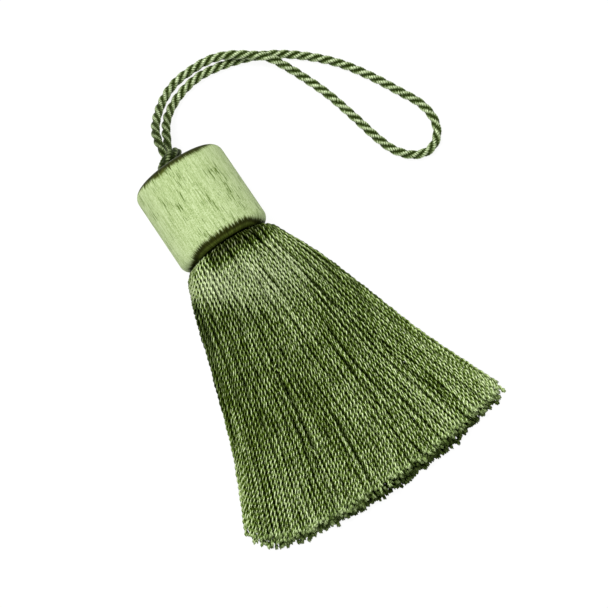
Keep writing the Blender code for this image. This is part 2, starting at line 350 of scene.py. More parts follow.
def smooth_curve(points, steps=12):
    """Dense points on a smooth curve through the given ones."""
    points = np.array(points, float)
    points = np.vstack([2 * points[0] - points[1], points, 2 * points[-1] - points[-2]])
    t = (np.arange(steps) / steps)[:, None]
    dense = [blend(start, end, (end - before) / 2, (after - start) / 2, t)
             for before, start, end, after in zip(points, points[1:], points[2:], points[3:])]
    return np.vstack([*dense, points[-2]])


def distances(points):
    """How far along its line each point lies."""
    return np.concatenate([[0], np.cumsum(np.linalg.norm(np.diff(points, axis=0), axis=1))])


def even_points(dense, count):
    """The line again, as count + 1 points the same distance apart."""
    reached = distances(dense)
    wanted = np.linspace(0, reached[-1], count + 1)
    return np.stack([np.interp(wanted, reached, dense[:, axis]) for axis in range(3)], axis=1)


def directions(centres, closed=False):
    """Unit vectors along a line of points."""
    if closed:
        return unit(np.roll(centres, -1, axis=0) - np.roll(centres, 1, axis=0))
    return unit(np.gradient(centres, axis=0))


# -------- twisted cord

def cord_parts(centres, reference, radii, dark, lay, pressed, closed=False):
    """The cord's plies, each a tube with three lobes for its own yarns.

    radii, dark and lay may change along the cord. dark says how much painted shade a place
    gets, on the legs by the head and in the knot, and pressed how far the plies overlap.
    """
    along = directions(centres, closed)
    normal = square_to(along, reference)
    side = np.cross(along, normal)
    gaps = np.linalg.norm(np.roll(centres, -1, axis=0) - centres, axis=1)
    reached = np.concatenate([[0], np.cumsum(gaps)[:-1]])
    twist = np.concatenate([[0], np.cumsum(gaps / lay)[:-1]])
    ply_share = pressed / (1 + 1 / sin(pi / CORD_PLIES))
    ply_radius = (radii * ply_share)[:, None]
    sides = PLY_YARNS * POINTS_PER_PLY_YARN
    angle = 2 * pi * np.arange(sides)[None, :] / sides
    yarn_turn = (2 * pi * reached / PLY_YARN_LAY)[:, None]
    lobe = 0.5 + 0.5 * np.cos(PLY_YARNS * (angle - yarn_turn))
    reach = ply_radius * (1 - PLY_YARN_RELIEF + PLY_YARN_RELIEF * lobe)
    # crown is 1 where the ply faces out of the cord and 0 where the plies meet, for the painted
    # highlight and painted shade there
    crown = np.broadcast_to(0.5 + 0.5 * np.cos(angle), lobe.shape)
    parts = []
    for ply in range(CORD_PLIES):
        turn = (2 * pi * ply / CORD_PLIES - 2 * pi * twist)[:, None]
        outward = normal * np.cos(turn) + side * np.sin(turn)
        ply_centres = centres + outward * (radii[:, None] - ply_radius)
        ply_along = directions(ply_centres, closed)
        outward = square_to(ply_along, outward)
        across = np.cross(ply_along, outward)
        points = (ply_centres[:, None, :]
                  + outward[:, None, :] * (reach * np.cos(angle))[..., None]
                  + across[:, None, :] * (reach * np.sin(angle))[..., None])
        fibre = np.stack(np.broadcast_arrays(
            np.cos(angle - yarn_turn), np.sin(angle - yarn_turn),
            reached[:, None] * CORD_FIBRE_ALONG + CORD_FIBRE_APART * ply), axis=-1)
        attributes = {"crown": crown.ravel(), "strand": lobe.ravel(),
                      "dark": dark.repeat(sides), "fibre": fibre.reshape(-1, 3)}
        faces = tube_faces(len(centres), sides, closed)
        parts.append(Part(points.reshape(-1, 3), faces, attributes))
    return parts


def add_loop(surface):
    """The loop, squeezed and slack where its legs come out of the head, and its line."""
    dense = smooth_curve(CORD_ROUTE)
    step = PLY_YARN_LAY / STEPS_PER_LAY
    centres = even_points(dense, round(distances(dense)[-1] / step))
    centres[:, 2] = np.maximum(centres[:, 2], CORD_DIAMETER / 2 * LOOSE_TWIST)
    aside = np.abs(centres[:, 0] - AXIS_X)
    free = np.clip((centres[:, 1] - FOOT_END_Y) / (FOOT_FREE_Y - FOOT_END_Y), 0, 1)
    free[aside > HEAD_RADIUS / 2] = 1
    radii = CORD_DIAMETER / 2 * (FOOT_SQUEEZE + (1 - FOOT_SQUEEZE) * free) * LOOSE_TWIST
    # painted shade on the legs by the head, fading away from it and from its axis
    foot = 1 - rise(centres[:, 1], FOOT_SHADE_FULL_Y, FOOT_SHADE_END_Y)
    dark = foot * (1 - rise(aside, *FOOT_SHADE_ASIDE))
    lay = CORD_LAY * (1 + FOOT_SLACK * dark)
    parts = cord_parts(centres, UP, radii, dark, lay, PLY_PRESSED)
    return add_piece("loop_plies", parts, surface, "loop_cord"), centres


def add_knot(surface):
    """The ring lies round both legs, just over the head's top."""
    reach_aside = LEG_ASIDE + KNOT_BEND
    centre_y = HEAD_TOP_Y + KNOT_RISE + KNOT_TUBE / 2 + reach_aside * sin(KNOT_TILT)
    roll = atan2(LEG_ASIDE, LEG_ABOVE)
    outline = []
    for end, start in ((1, roll), (-1, roll + pi)):
        turn = start + np.linspace(0, pi, KNOT_BEND_POINTS)
        outline.append(np.stack([KNOT_BEND * np.cos(turn) - end * LEG_ASIDE, 0 * turn,
                                 KNOT_BEND * np.sin(turn) + end * LEG_ABOVE], axis=1))
    outline = np.concatenate(outline + [outline[0][:1]])
    tilt = np.array([[cos(KNOT_TILT), -sin(KNOT_TILT), 0],
                     [sin(KNOT_TILT), cos(KNOT_TILT), 0], [0, 0, 1]])
    outline = outline @ tilt.T + [AXIS_X, centre_y, AXIS_Z]
    length = distances(outline)[-1]
    lobes = round(length / PLY_YARN_LAY)
    centres = even_points(outline, lobes * STEPS_PER_LAY)[:-1]
    radii = np.full(len(centres), KNOT_TUBE / 2 * KNOT_SWELL)
    # the whole knot gets painted shade, deeper than the legs'
    dark = np.full(len(centres), KNOT_PAINTED_SHADE)
    parts = cord_parts(centres, tilt @ [0.0, 1.0, 0.0], radii, dark, length / KNOT_LAYS,
                       KNOT_PRESSED, closed=True)
    return add_piece("knot_plies", parts, surface, "loop_knot")


# -------- head

def head_profile():
    """Outline of the head as (radius, y, rim), from the hole's floor to the underside.
    rim is 0 on the wall, 1 where the upper rim has turned into the top, and -1 below."""
    corner = HEAD_RADIUS - HEAD_RIM
    quarter = pi / 2
    hole_edge = HOLE_RADIUS + HOLE_RIM
    wall = HEAD_LENGTH - 2 * HEAD_RIM
    rows = [(HOLE_MIDDLE, HEAD_TOP_Y - HOLE_DEPTH, 1), (HOLE_RADIUS, HEAD_TOP_Y - HOLE_DEPTH, 1)]
    for turn in np.linspace(0, quarter, HOLE_RIM_POINTS):
        rows.append((hole_edge - HOLE_RIM * cos(turn),
                     HEAD_TOP_Y - HOLE_RIM * (1 - sin(turn)), 1))
    for share in (0.33, 0.67):
        rows.append((hole_edge + (corner - hole_edge) * share, HEAD_TOP_Y, 1))
    for turn in np.linspace(0, quarter, RIM_POINTS):
        rows.append((corner + HEAD_RIM * sin(turn),
                     HEAD_TOP_Y - HEAD_RIM + HEAD_RIM * cos(turn), 1 - turn / quarter))
    for step in range(1, WALL_STEPS):
        rows.append((HEAD_RADIUS, HEAD_TOP_Y - HEAD_RIM - wall * step / WALL_STEPS, 0))
    for turn in np.linspace(0, quarter, RIM_POINTS):
        rows.append((corner + HEAD_RIM * cos(turn),
                     HEAD_UNDER_Y + HEAD_RIM - HEAD_RIM * sin(turn), -turn / quarter))
    for share in (0.7, 0.4, 0.1):
        rows.append((corner * share, HEAD_UNDER_Y, -1))
    return np.array(rows)


def add_head(surface):
    """The head's turned form, with the floss threads' fine relief along it."""
    radius, y, rim = head_profile().T[:, :, None]
    reached = distances(np.hstack([radius, y]))[:, None]
    rng = np.random.default_rng(11)
    columns = THREADS * POINTS_PER_THREAD
    angle = 2 * pi * np.arange(columns) / columns
    sway = np.zeros((len(radius), columns))
    for _ in range(SWAYS):
        sway += rng.uniform(*SWAY_SIZE) * np.sin(rng.integers(*SWAYS_ROUND) * angle
                                                 + rng.uniform(*SWAYS_ALONG) * reached
                                                 + rng.uniform(0, 2 * pi))
    height = np.abs(np.cos(THREADS * angle / 2 + sway)) ** THREAD_FULLNESS
    raised = rng.uniform(FLATTEST_THREAD, 1.0, THREADS).repeat(POINTS_PER_THREAD)
    relief = THREAD_RELIEF * (height * raised - THREAD_SUNK) * radius / HEAD_RADIUS
    wavy = radius + relief * (1 - np.abs(rim))
    points = np.stack([AXIS_X + wavy * np.sin(angle), y + relief * rim,
                       np.maximum(AXIS_Z + wavy * np.cos(angle), 0.0)], axis=-1)
    wall = reached[rim == 0]
    over_top = (wall[0] - reached) / (HEAD_RIM * pi / 2)
    over_foot = (reached - wall[-1]) / (HEAD_RIM * pi / 2)
    fibre = np.stack(np.broadcast_arrays(np.sin(angle) * HEAD_RADIUS,
                                         np.cos(angle) * HEAD_RADIUS, reached), axis=-1)
    flank = rise(np.abs(np.sin(angle)), 0.50, 0.98)
    attributes = {"over_top": (over_top - TOP_SHADE_SHORTER * flank).ravel(),
                  "over_foot": (over_foot - FOOT_SHADE_SHORTER * flank).ravel(),
                  "flank": np.tile(flank, len(radius)),
                  "fibre": fibre.reshape(-1, 3) * MILLIMETRES}
    part = Part(points.reshape(-1, 3), tube_faces(len(radius), columns), attributes)
    return add_piece("head_threads", [part], surface, "head")


# -------- skirt: packing

def across_disc(shares):
    """Places across a disc, -1 to 1, that leave these shares of its area behind them."""
    low, high = -np.ones_like(shares), np.ones_like(shares)
    for _ in range(40):
        middle = (low + high) / 2
        area = 0.5 + (middle * np.sqrt(1 - middle**2) + np.arcsin(middle)) / pi
        low = np.where(area < shares, middle, low)
        high = np.where(area < shares, high, middle)
    return (low + high) / 2


def section_at(share):
    """The section at any share of the length, on smooth curves that don't swing past
    the table's own values and run straight on beyond its end."""
    table = np.array(SECTIONS)
    at, columns = table[:, 0], table[:, 1:]
    steps = np.diff(columns, axis=0) / np.diff(at)[:, None]
    slopes = np.gradient(columns, at, axis=0)
    least = np.minimum(np.abs(steps[:-1]), np.abs(steps[1:]))
    same_way = steps[:-1] * steps[1:] > 0
    slopes[1:-1] = np.where(same_way, np.sign(slopes[1:-1])
                            * np.minimum(np.abs(slopes[1:-1]), 2 * least), 0)
    row = np.clip(np.searchsorted(at, share, side="right") - 1, 0, len(at) - 2)
    width = (at[row + 1] - at[row])[..., None]
    t = np.minimum((share - at[row])[..., None] / width, 1)
    value = blend(columns[row], columns[row + 1], slopes[row] * width,
                  slopes[row + 1] * width, t)
    value += slopes[-1] * np.maximum(share - 1, 0)[..., None]
    return Section(share, *np.moveaxis(value, -1, 0))


def smooth_noise(rng, waves, slowest, fastest):
    """Smooth wandering of every yarn along the skirt, one row for each station."""
    at = np.linspace(0, 1, STATIONS)[:, None]
    total = np.zeros((STATIONS, YARNS))
    for _ in range(waves):
        total += (rng.normal(0, 1, YARNS) / sqrt(waves)
                  * np.sin(2 * pi * rng.uniform(slowest, fastest, YARNS) * at
                           + rng.uniform(0, 2 * pi, YARNS)))
    return total


def yarn_ends(rng, across, level):
    """The y of each yarn's end, on the fan's arc with its cut corners."""
    ragged = END_RAGGED * rng.normal(0, 1, YARNS).clip(-2, 2)
    start = np.where(across < 0, LEFT_CORNER_FROM, RIGHT_CORNER_FROM)
    corner = np.maximum(0, (np.abs(across) - start) / (1 - start))
    cut = np.where(across < 0, LEFT_CORNER_CUT, RIGHT_CORNER_CUT)
    reach = FAN_RADIUS + FAN_FLATTER * across**2 - cut * corner**2
    reach += ragged - TOP_LAYER_SHORTER * level**1.5
    end_x = SECTIONS[-1].half_width * across
    return FAN_CENTRE_Y - np.sqrt(reach**2 - end_x**2)


def straying(rng, across, share, half_width):
    """How far each yarn strays sideways and up or down from its even place, and how
    far its own ceiling lies below the skin. The outermost yarns stray least."""
    grown = np.clip(share / 0.25, 0, 1)
    loose = 1 - across**4
    clump = 0.012 * np.sin(23 * across + 1.0) + 0.008 * np.sin(41 * across + 2.4)
    wander = 0.0011 - 0.0004 * rise(share, 0.6, 1.0)
    aside = grown * loose * (half_width * clump + wander * smooth_noise(rng, 3, 0.4, 2.2))
    upward = grown * 0.0007 * smooth_noise(rng, 3, 0.4, 2.0)
    sunk = np.clip(smooth_noise(rng, 2, 0.5, 2.6), 0, 1.5)
    sunk *= (0.0010 + 0.0004 * rise(across, -0.1, 0.5)) * loose
    return aside, upward, grown * sunk


def push_apart(x, z, apart):
    """How far each yarn moves, as those beside it at its station push it away."""
    order = np.argsort(x, axis=1)
    xs = np.take_along_axis(x, order, 1)
    zs = np.take_along_axis(z, order, 1)
    push_x, push_z = np.zeros_like(xs), np.zeros_like(zs)
    for other in range(1, MOST_NEIGHBOURS):
        gap_x = xs[:, other:] - xs[:, :-other]
        if gap_x.min() > 2 * YARN_RADIUS:
            break
        gap_z = zs[:, other:] - zs[:, :-other]
        away = np.sqrt(gap_x**2 + gap_z**2) + TINY
        force = PUSH * np.maximum(0, apart - away) / away
        for push, gap in ((push_x, gap_x), (push_z, gap_z)):
            push[:, other:] += force * gap
            push[:, :-other] -= force * gap
    moved_x, moved_z = np.zeros_like(x), np.zeros_like(z)
    np.put_along_axis(moved_x, order, push_x, 1)
    np.put_along_axis(moved_z, order, push_z, 1)
    return moved_x, moved_z


def floor_and_ceiling(section, spread, share, sunk):
    """The lowest and highest that a yarn's centre may lie at its place across. The
    bundle is thinner at its edges, so that its yarns lie close there."""
    chord = np.sqrt(1 - spread**2)
    low = np.maximum(section.mid - section.below * chord, 0) + YARN_RADIUS
    edge = rise(np.abs(spread), 0.80, 0.96)
    thin = 1 - EDGE_THINNER * edge * rise(share, 0.1, 0.3)
    high = np.maximum(section.mid + section.above * chord * thin + SKIN_SLACK - sunk, low)
    return low, high


def even_out(moves):
    """Springiness: each station's moves come nearer to those beside it."""
    moves[1:-1] = ((1 - 2 * SPRINGINESS) * moves[1:-1]
                   + SPRINGINESS * (moves[:-2] + moves[2:]))


Tracks = namedtuple("Tracks", "x y z out_x out_z buried")


def pack_yarns():
    """The yarns' centres, the way out of the bundle there, and how deep each is buried,
    all by station and yarn.

    The yarns start out dealt evenly over the section, wander, and push each other
    apart, while springiness keeps them smooth and they rise or sink to the skin. Each
    has its own ceiling, so that some stand proud and others sink between them.
    """
    rng = np.random.default_rng(5)
    index = np.arange(YARNS)
    across = across_disc((index + 0.5) / YARNS)
    level = (FIRST_LAYER + index * GOLDEN_STEP) % 1.0
    share = np.linspace(0, 1, STATIONS)[:, None] ** STATION_CROWDING
    end_y = yarn_ends(rng, across, level)
    root_y = HEAD_UNDER_Y - GAP
    y = root_y + (end_y - root_y) * share
    edge_y = end_y[0] + (end_y[-1] - end_y[0]) * (across + 1) / 2
    section = section_at((root_y - y) / (root_y - edge_y))

    chord = np.sqrt(1 - across**2)
    base_x = section.middle + section.half_width * across
    base_z = (section.mid - section.below * chord
              + (section.below + section.above) * chord * level)
    held = rise(np.abs(across), 0.76, 0.92) * rise(share, 0.25, 0.55)
    dx, dz, sunk = straying(rng, across, share, section.half_width)
    dx *= (1 - held) * (0.15 + 0.85 * rise(level, 0.10, 0.40))
    apart = 2 * YARN_RADIUS * (0.93 + 0.07 * rise(share, 0.0, 0.15))
    for step in range(PACK_STEPS):
        moved_x, moved_z = push_apart(base_x + dx, base_z + dz, apart)
        dx = (dx + moved_x) * (1 - held)
        z = base_z + (dz + moved_z)
        spread = np.clip((base_x + dx - section.middle) / section.half_width, -0.995, 0.995)
        low, high = floor_and_ceiling(section, spread, share, sunk)
        place = (z - low) / np.maximum(high - low, 1e-6)
        lift = SKIN_LIFT * np.clip((place - 0.45) * 4, -1, 1) * (1 - step / PACK_STEPS)
        dz = np.clip(z + lift, low, high) - base_z
        dx = section.middle + spread * section.half_width - base_x
        if step < PACK_STEPS - FREE_STEPS:
            even_out(dx)
            even_out(dz)
    x, z = base_x + dx, base_z + dz
    out_x, out_z = ways_out(x, z, section)
    place = np.clip((x - section.middle) / section.half_width, -1, 1)
    x += clefts(place, share) * np.clip(1.3 - burial(x, z), -0.5, 1)
    return Tracks(x, y, z, out_x, out_z, burial(x, z))


def ways_out(x, z, section):
    """The way out of the bundle at each yarn, as x and z, and rather more upright."""
    tall = np.where(z > section.mid, section.above, np.maximum(section.below, 0.001))
    out_x = (x - section.middle) / section.half_width**2
    out_z = (z - section.mid) / tall**2
    size = np.sqrt(out_x**2 + out_z**2) + TINY
    return out_x / size, out_z / size + 0.5 * np.sign(out_z)


def clefts(across, share):
    """Sideways moves that draw the upper yarns into ropes of two or three, with dark
    clefts between, which come and go along the skirt and show most on its right."""
    strength = rise(share, 0.05, 0.35) * (1 - rise(np.abs(across), 0.60, 0.88))
    strength = strength * (0.75 + 0.50 * rise(across, -0.1, 0.5))
    strength = strength * (1 - 0.5 * rise(share, 0.80, 1.0))
    total = 0 * across
    for ropes in ROPES:
        here = np.exp(-((share - ropes.share) / ROPES_SPREAD) ** 2)
        swung = 0.21 * ropes.count * across + ropes.swing * share
        fades = 0.5 + 0.5 * np.sin(2 * pi * swung + ropes.phase)
        drift = 1.6 * np.sin(4.0 * ropes.swing * share + 5.0 * across + ropes.phase)
        total = total + here * fades * np.sin(2 * pi * ropes.count * across + drift)
    return CLEFT_MOVE * strength * total


def burial(x, z):
    """How far each yarn lies below the highest ones beside it, in yarn widths."""
    deep = np.zeros(x.shape)
    for station in range(len(x)):
        near = np.abs(x[station][None, :] - x[station][:, None]) < 1.6 * YARN_RADIUS
        top = np.where(near, z[station][None, :], -1).max(axis=1)
        deep[station] = (top - z[station]) / (2 * YARN_RADIUS)
    return deep


def exposure(x, z):
    """How much of each yarn shows from above and the sides, from 0 to 1, by station: the
    share of rays from its middle and its two edges that no other yarn stops."""
    tilts = np.radians(np.arange(-80, 81, 20))
    edges = np.array([-0.8, 0, 0.8]) * YARN_RADIUS
    seen = np.zeros(x.shape)
    for tilt in tilts:
        for station in range(len(x)):
            gap_x = x[station][None, :] - x[station][:, None]
            gap_z = z[station][None, :] - z[station][:, None]
            ahead = gap_x * sin(tilt) + gap_z * cos(tilt)
            beside = gap_z * sin(tilt) - gap_x * cos(tilt)
            for edge in edges:
                blocked = (ahead > 1e-6) & (np.abs(beside - edge) < 0.9 * YARN_RADIUS)
                seen[station] += ~blocked.any(axis=1)
    return seen / (len(tilts) * len(edges))


# -------- skirt: yarns

def yarn_outline(kind):
    """A two-ply yarn's outline, as (u, v) points at the kind's turns round each ply,
    with the groove that follows it if that kind has one."""
    rows = []
    for ply in (1, -1):
        for turn in np.radians(kind.turns):
            rows.append((ply * (PLY_OFFSET + PLY_RADIUS * cos(turn)),
                         ply * PLY_RADIUS * sin(turn)))
        if kind.grooved:
            rows.append((0, ply * GROOVE_DEPTH))
    return np.array(rows)


def resample(track, rings):
    """Smooth values at more places along each yarn; track is (station, yarn)."""
    stations = len(track)
    at = np.linspace(0, stations - 1, rings)
    row = np.clip(at.astype(int), 0, stations - 2)
    slope = np.gradient(track, axis=0)
    return blend(track[row], track[row + 1], slope[row], slope[row + 1], (at - row)[:, None])


def waves(rng, place, slowest, fastest):
    """A sine wave along each yarn, with a length and start of its own."""
    each = (len(place), 1)
    return np.sin(place * rng.uniform(slowest, fastest, each) + rng.uniform(0, 6, each))


def twisted_axes(rng, along, reached):
    """The two axes of a yarn's outline, which turn along it with its uneven twist."""
    each = (len(reached), 1)
    normal = square_to(along, UP)
    side = np.cross(along, normal)
    lay = YARN_LAY * rng.uniform(0.90, 1.12, each)
    uneven = LAY_UNEVEN * waves(rng, reached, 250, 600)
    turn = 2 * pi * (reached / lay + uneven + rng.uniform(0, 1, each))[..., None]
    return (normal * np.cos(turn) + side * np.sin(turn),
            -normal * np.sin(turn) + side * np.cos(turn))


def thicknesses(rng, usual, across, share, reached, left):
    """How thick each yarn is along its length: no two are the same."""
    swell = usual * rng.normal(1, 0.06, (len(reached), 1)).clip(0.88, 1.12)
    swell = swell + SWELL_UNEVEN * waves(rng, reached, 400, 900)
    swell += EDGE_SWELL * rise(np.abs(across), 0.88, 0.97)
    swell += FAR_SWELL * rise(share, 0.55, 0.95)
    swell += CUT_SWELL * np.clip(1 - left / CUT_LENGTH, 0, 1) ** 2
    return swell


def painted_light(share, across):
    """How much paler or darker than usual the skirt's colour is painted at each place, as
    its yarns lie to the light: a painted sheen band below the head, the head's painted
    shadow above it, paler towards the skirt's end and right, and darker in broad patches."""
    table = np.array(PAINTED_HIGHLIGHT_BAND)
    place, spread, strength = [np.interp(across, table[:, 0], column) for column in table.T[1:]]
    band = strength * np.exp(-((share - place) / spread) ** 2)
    end = 0.18 * rise(share, 0.60, 0.95)
    right = 0.08 * across * (1 - 0.8 * share)
    darker = 0.05 + 0.11 * rise(share, 0.4, 0.7) * np.exp(-((across + 0.08) / 0.35) ** 2)
    darker += 0.10 * rise(across, 0.65, 0.95) * plateau(share, (0.05, 0.12), (0.5, 0.7))
    darker += 0.07 * (1 - rise(across, -0.6, -0.3)) * plateau(share, (0.28, 0.40), (0.55, 0.75))
    shade = (1 - rise(share, 0.03, 0.10)) * plateau(across, (-0.72, -0.42), (0.55, 0.85))
    closest = 1 - rise(share, 0.02, 0.07)
    return band + end + right - darker - (0.90 + 0.45 * closest) * shade


def fan_place(points):
    """Where points lie in the fan, in millimetres: across its end, along it, and up."""
    from_centre = FAN_CENTRE_Y - points[..., 1]
    angle = np.arctan2(points[..., 0], from_centre)
    along = np.hypot(points[..., 0], from_centre)
    return np.stack([angle * FAN_RADIUS, along, points[..., 2]], axis=-1) * MILLIMETRES


def yarn_tubes(rng, tracks, chosen, kind):
    """Twisted tubes for the chosen yarns, each with the tuft at its end."""
    outline = yarn_outline(kind)
    rings = round(YARN_LENGTH / YARN_LAY * kind.rings_per_lay)
    track = Tracks(*[resample(values[:, chosen], rings).T for values in tracks])
    path = np.stack([track.x, track.y, track.z], axis=-1)
    for axis in (0, 2):
        path[..., axis] += CRIMP * waves(rng, -path[..., 1], 700, 1300)
    along = unit(np.gradient(path, axis=1))
    way_out = np.stack([track.out_x, 0 * track.out_x, track.out_z], axis=-1)
    way_out = square_to(along, way_out)[:, :, None, :]
    steps = np.linalg.norm(np.diff(path, axis=1), axis=2)
    reached = np.concatenate([np.zeros((len(path), 1)), np.cumsum(steps, axis=1)], axis=1)
    left = reached[:, -1:] - reached
    share = reached / reached[:, -1:]
    half_width = np.interp(share, *np.array(SECTIONS)[:, [0, 2]].T)
    across = np.clip(path[..., 0] / half_width, -1, 1)

    u, v = twisted_axes(rng, along, reached)
    thickness = thicknesses(rng, kind.thickness, across, share, reached, left)
    offset = u[:, :, None, :] * outline[:, :1] + v[:, :, None, :] * outline[:, 1:]
    points = path[:, :, None, :] + offset * thickness[..., None, None]
    points[..., 2] = np.maximum(points[..., 2], TABLE_CLEARANCE)

    tip = np.clip(1 - left / TIP_LENGTH, 0, 1)
    # less painted shade at the yarns' tips on the skirt's left, where the light reaches them
    left_tips_lit = tip * 0.65 * (1 - rise(across, -0.5, 0.1))
    number = np.arange(len(path))[:, None]
    fibre_along = reached * YARN_FIBRE_ALONG + YARN_FIBRE_APART * number
    # crown: how far out of its yarn a point stands, towards the bundle's outside, for the painted
    # highlight on the plies and the painted shade in their grooves
    scalars = {"crown": np.sum(offset * way_out, axis=-1) / (PLY_OFFSET + PLY_RADIUS),
               "tone": rng.normal(0, 1, (len(path), 1, 1)),
               "tip": tip[..., None],
               "painted_light": painted_light(share, across)[..., None],
               "buried": (np.clip(track.buried, 0, DEEPEST) * (1 - left_tips_lit))[..., None]}
    vectors = {"fibre": np.stack(np.broadcast_arrays(*outline.T * YARN_FIBRE_ACROSS,
                                                     fibre_along[..., None]), axis=-1),
               "fan": fan_place(points),
               "way_out": way_out}
    fields = {name: np.broadcast_to(values, points.shape[:3]) for name, values in scalars.items()}
    fields |= {name: np.broadcast_to(values, points.shape) for name, values in vectors.items()}
    faces = tube_faces(rings, len(outline))
    parts = []
    for yarn in range(len(path)):
        attributes = {name: values[yarn].reshape(-1, *values.shape[3:])
                      for name, values in fields.items()}
        parts.append(Part(points[yarn].reshape(-1, 3), faces, attributes))
        ending = {name: attributes[name][-1] for name in ("tone", "painted_light", "buried")}
        parts.append(tuft(rng, path[yarn, -1], along[yarn, -1], ending))
    return parts


def tuft(rng, end, along, ending):
    """The cut end of a yarn: short round locks of loose filament, spread apart. ending
    is what the yarn's own attributes are there."""
    locks = np.arange(TUFT_LOCKS)
    normal = square_to(along, UP)
    side = np.cross(along, normal)
    turns = 2 * pi * (locks / TUFT_LOCKS + rng.uniform(0, 1))[:, None]
    out = np.where(locks == 0, 0.1, rng.uniform(0.55, 1.0, TUFT_LOCKS))[:, None]
    outward = ((normal * np.cos(turns) + side * np.sin(turns)) * out)[:, None, :]
    length = rng.uniform(*LOCK_LENGTH, TUFT_LOCKS)[:, None, None]
    lean = rng.uniform(*LOCK_LEAN, TUFT_LOCKS)[:, None, None]
    t = np.linspace(0, 1, LOCK_STEPS)[:, None]
    centre = (end - along * LOCK_ROOT + outward * LOCK_SPREAD
              + along * (length + LOCK_ROOT) * t + outward * length * lean * t**1.5)
    thick = LOCK_RADIUS * (1 - LOCK_TAPER * t**3)
    corner = (2 * pi * np.arange(LOCK_SIDES) / LOCK_SIDES)[:, None]
    ring = normal * np.cos(corner) + side * np.sin(corner)
    points = centre[:, :, None, :] + ring * thick[:, :, None]
    points[..., 2] = np.maximum(points[..., 2], TABLE_CLEARANCE)
    # painted highlight: each lock paler towards its tip, by a random amount
    lit = np.broadcast_to(0.42 + 0.5 * t, points.shape[:3])
    lit = lit * rng.uniform(0.5, 1.15, (TUFT_LOCKS, 1, 1))
    faces = []
    for lock in locks:
        faces += tube_faces(LOCK_STEPS, LOCK_SIDES, first=lock * LOCK_STEPS * LOCK_SIDES)
    attributes = {"crown": lit.ravel(), "tip": np.ones(lit.size),
                  "fibre": (points * TUFT_FIBRE).reshape(-1, 3),
                  "fan": fan_place(points).reshape(-1, 3),
                  "way_out": np.tile(normal, (lit.size, 1))}
    for name, value in ending.items():
        attributes[name] = np.full(lit.size, value)
    return Part(points.reshape(-1, 3), faces, attributes)


def in_bundles(parts):
    """The parts in their order, shared out over lists that stay under the limit."""
    bundles = [[]]
    count = 0
    for part in parts:
        more = triangles(part)
        if count + more > BUNDLE_TRIANGLES:
            bundles.append([])
            count = 0
        bundles[-1].append(part)
        count += more
    return bundles


def add_skirt(surface):
    rng = np.random.default_rng(23)
    tracks = pack_yarns()
    seen = exposure(tracks.x, tracks.z).max(axis=0)
    rank = np.argsort(-seen, kind="stable")
    parts = []
    first = 0
    for kind in YARN_KINDS:
        parts += yarn_tubes(rng, tracks, rank[first:kind.upto], kind)
        first = kind.upto
    for number, bundle in enumerate(in_bundles(parts), 1):
        add_piece(f"skirt_yarns_{number}", bundle, surface, "skirt")


# -------- materials

class Shader:
    """A material's node tree, with short ways to add and link its nodes."""

    def __init__(self, name):
        self.material = bpy.data.materials.new(name)
        self.material.use_nodes = True
        self.tree = self.material.node_tree
        self.base = self.tree.nodes["Principled BSDF"]

    def node(self, kind, **settings):
        made = self.tree.nodes.new(kind)
        for key, value in settings.items():
            setattr(made, key, value)
        return made

    def link(self, output, socket):
        self.tree.links.new(output, socket)

    def attribute(self, name, output="Fac"):
        return self.node("ShaderNodeAttribute", attribute_name=name).outputs[output]

    def noise(self, vector, detail, steps):
        """Noise with this many steps for each unit along x, y and z."""
        mapping = self.node("ShaderNodeMapping")
        mapping.inputs["Scale"].default_value = steps
        self.link(vector, mapping.inputs["Vector"])
        made = self.node("ShaderNodeTexNoise")
        made.inputs["Scale"].default_value = 1.0
        made.inputs["Detail"].default_value = detail
        self.link(mapping.outputs["Vector"], made.inputs["Vector"])
        return made.outputs["Fac"]

    def put(self, value, socket):
        """Sets a number or a colour on the socket, or links another node's output."""
        if isinstance(value, (int, float)):
            socket.default_value = value
        elif isinstance(value, tuple):
            socket.default_value = (*value, 1)
        else:
            self.link(value, socket)

    def math(self, operation, *values, clamp=False):
        made = self.node("ShaderNodeMath", operation=operation, use_clamp=clamp)
        for value, socket in zip(values, made.inputs):
            self.put(value, socket)
        return made.outputs[0]

    def plus(self, light, *layers):
        """light with layers on it, each a pattern, a factor for it and an offset."""
        for pattern, factor, offset in layers:
            light = self.math("ADD", light, self.math("MULTIPLY_ADD", pattern, factor, offset))
        return light

    def dot(self, first, second):
        made = self.node("ShaderNodeVectorMath", operation="DOT_PRODUCT")
        self.link(first, made.inputs[0])
        self.link(second, made.inputs[1])
        return made.outputs["Value"]

    def rise(self, value, low, high):
        """0 at low and 1 at high, with a soft start and end."""
        made = self.node("ShaderNodeMapRange", interpolation_type="SMOOTHSTEP")
        made.inputs["From Min"].default_value = low
        made.inputs["From Max"].default_value = high
        self.link(value, made.inputs["Value"])
        return made.outputs["Result"]

    def ramp(self, factor, *stops):
        """Colours by the factor; each stop is its place, red, green and blue."""
        made = self.node("ShaderNodeValToRGB")
        points = made.color_ramp.elements
        while len(points) < len(stops):
            points.new(0.5)
        for point, (place, *colour) in zip(points, stops):
            point.position = place
            point.color = (*colour, 1)
        self.link(factor, made.inputs["Fac"])
        return made.outputs["Color"]

    def mix(self, factor, first, second, blend_type="MIX"):
        made = self.node("ShaderNodeMix", data_type="RGBA", blend_type=blend_type)
        for value, index in ((factor, 0), (first, 6), (second, 7)):
            self.put(value, made.inputs[index])
        return made.outputs[2]

    def times(self, first, second):
        """Two colours multiplied."""
        return self.mix(1.0, first, second, "MULTIPLY")

    def bump(self, height, strength, distance):
        made = self.node("ShaderNodeBump")
        made.inputs["Strength"].default_value = strength
        made.inputs["Distance"].default_value = distance
        self.link(height, made.inputs["Height"])
        self.link(made.outputs["Normal"], self.base.inputs["Normal"])

    def finish(self, colour, values):
        """The material, with its colour linked and these values set."""
        self.link(colour, self.base.inputs["Base Color"])
        for name, value in values.items():
            self.base.inputs[name].default_value = value
        return self.material


